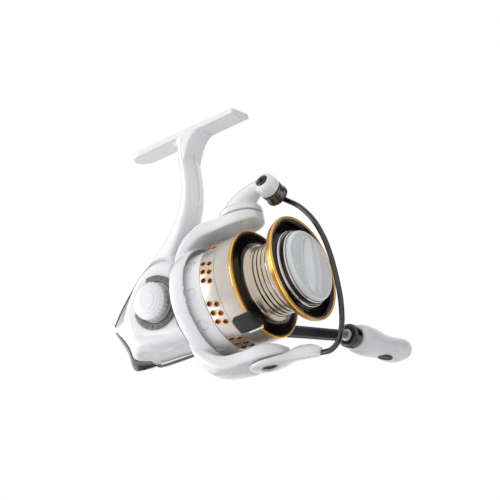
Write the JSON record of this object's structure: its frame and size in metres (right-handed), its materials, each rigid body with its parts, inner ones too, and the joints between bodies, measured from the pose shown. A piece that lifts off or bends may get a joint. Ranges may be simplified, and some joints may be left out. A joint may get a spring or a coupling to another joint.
{
  "type": "spinning fishing reel",
  "caption": "Open-face spinning reel with long foot, bail wire and line roller, spool skirt with oval holes, front drag knob and crank handle.",
  "frame": {"origin": "centre of the flat seat on top of the foot, where the reel rests on the rod", "axes": "+X forward along the spool axis towards the drag knob, +Y to the handle side, +Z out of the foot into the rod seat"},
  "size_m": [0.127, 0.1314, 0.1266],
  "materials": {
    "white_body": "pearl white gloss",
    "knob_plastic": "satin off-white",
    "gunmetal": "dark metallic grey",
    "steel": "plain steel",
    "brass": "machined",
    "zinc": null,
    "grey_plastic": "moulded",
    "spool_metal": "polished champagne anodised",
    "gold_trim": "gold anodised",
    "silver_trim": "bright turned metal",
    "felt": "oiled felt",
    "black_plastic": "black"
  },
  "bodies": {
    "frame": {"body_frame": "white_body", "side_cover": "white_body", "front_plate": "white_body", "rear_cover": "gunmetal", "gear_side_ring": "gunmetal", "cover_screw_1": "steel", "cover_screw_2": "steel", "cover_screw_3": "steel", "drive_bearing_near": "steel", "drive_bearing_far": "steel", "pinion_bearing": "steel", "clutch_ring": "grey_plastic", "guide_rod_1": "steel", "guide_rod_2": "steel", "rod_holder": "grey_plastic", "oscillation_post": "steel"},
    "handle": {"drive_gear": "zinc", "drive_shaft": "steel", "oscillation_pinion": "grey_plastic", "handle_collar": "gunmetal", "handle_arm": "gunmetal", "knob_post": "steel", "screw_cap": "white_body"},
    "grip": {"handle_knob": "knob_plastic"},
    "rotor_body": {"rotor": "white_body", "pinion_gear": "brass", "clutch_sleeve": "steel", "rotor_nut": "steel", "arm_cover_top": "white_body", "arm_cover_bottom": "white_body", "bail_spring": "steel", "bail_pivot_top": "steel", "bail_pivot_bottom": "steel"},
    "kick_rod": {"bail_kick_rod": "steel"},
    "bail": {"bail_arm": "white_body", "bail_lever": "white_body", "bail_wire": "gunmetal", "roller_bush": "brass", "roller_screw": "black_plastic", "lever_screw": "black_plastic"},
    "roller": {"line_roller": "gunmetal"},
    "cam_gear": {"oscillation_gear": "grey_plastic"},
    "shaft": {"main_shaft": "steel", "oscillation_slider": "grey_plastic", "spool_seat": "brass"},
    "spool_body": {"spool": "spool_metal", "lip_ring": "gold_trim", "skirt_ring": "gold_trim", "line_clip": "black_plastic", "drag_washer_1": "felt", "drag_washer_2": "felt", "drag_washer_3": "felt", "drag_retainer": "steel"},
    "drag": {"drag_knob": "white_body", "knob_collar": "silver_trim", "drag_nut": "steel", "drag_spring": "steel"},
    "stopper": {"anti_reverse_lever": "gunmetal"}
  },
  "joints": [
    {"name": "handle_turn", "type": "hinge", "parent": "frame", "child": "handle", "pos_m": [-0.0225, 0, -0.0808], "axis": [0, 1, 0], "continuous": true},
    {"name": "grip_turn", "type": "hinge", "parent": "handle", "child": "grip", "pos_m": [0.03255, 0.057, -0.10338], "axis": [0, 1, 0], "continuous": true},
    {"name": "rotor_turn", "type": "hinge", "parent": "frame", "child": "rotor_body", "pos_m": [-0.0011, 0, -0.086], "axis": [1, 0, 0], "continuous": true},
    {"name": "cam_gear_turn", "type": "hinge", "parent": "frame", "child": "cam_gear", "pos_m": [-0.0348, 0, -0.089], "axis": [0, 1, 0], "continuous": true},
    {"name": "shaft_slide", "type": "slide", "parent": "frame", "child": "shaft", "axis": [1, 0, 0], "range_m": [-0.0124, 0]},
    {"name": "spool_turn", "type": "hinge", "parent": "shaft", "child": "spool_body", "pos_m": [0.0489, 0, -0.086], "axis": [1, 0, 0], "continuous": true},
    {"name": "drag_turn", "type": "hinge", "parent": "shaft", "child": "drag", "pos_m": [0.0489, 0, -0.086], "axis": [1, 0, 0], "range_deg": [-360, 720]},
    {"name": "bail_flip", "type": "hinge", "parent": "rotor_body", "child": "bail", "pos_m": [0.0214, 0, -0.086], "axis": [0, 0, -1], "range_deg": [0, 115]},
    {"name": "kick_rod_slide", "type": "slide", "parent": "rotor_body", "child": "kick_rod", "axis": [-1, 0, 0], "range_m": [0, 0.0061]},
    {"name": "roller_turn", "type": "hinge", "parent": "bail", "child": "roller", "pos_m": [0.0384, 0.0042, -0.0436], "axis": [0, 0.9063, -0.4226], "continuous": true},
    {"name": "stopper_swing", "type": "hinge", "parent": "frame", "child": "stopper", "pos_m": [-0.0171, 0, -0.1053], "axis": [0, 0, 1], "range_deg": [-25, 25]}
  ],
  "couplings": [
    {"joint": "rotor_turn", "follows": "handle_turn", "ratio": 5},
    {"joint": "cam_gear_turn", "follows": "handle_turn", "ratio": -0.66667},
    {"joint": "kick_rod_slide", "follows": "bail_flip", "m_per_rad": 0.003}
  ]
}
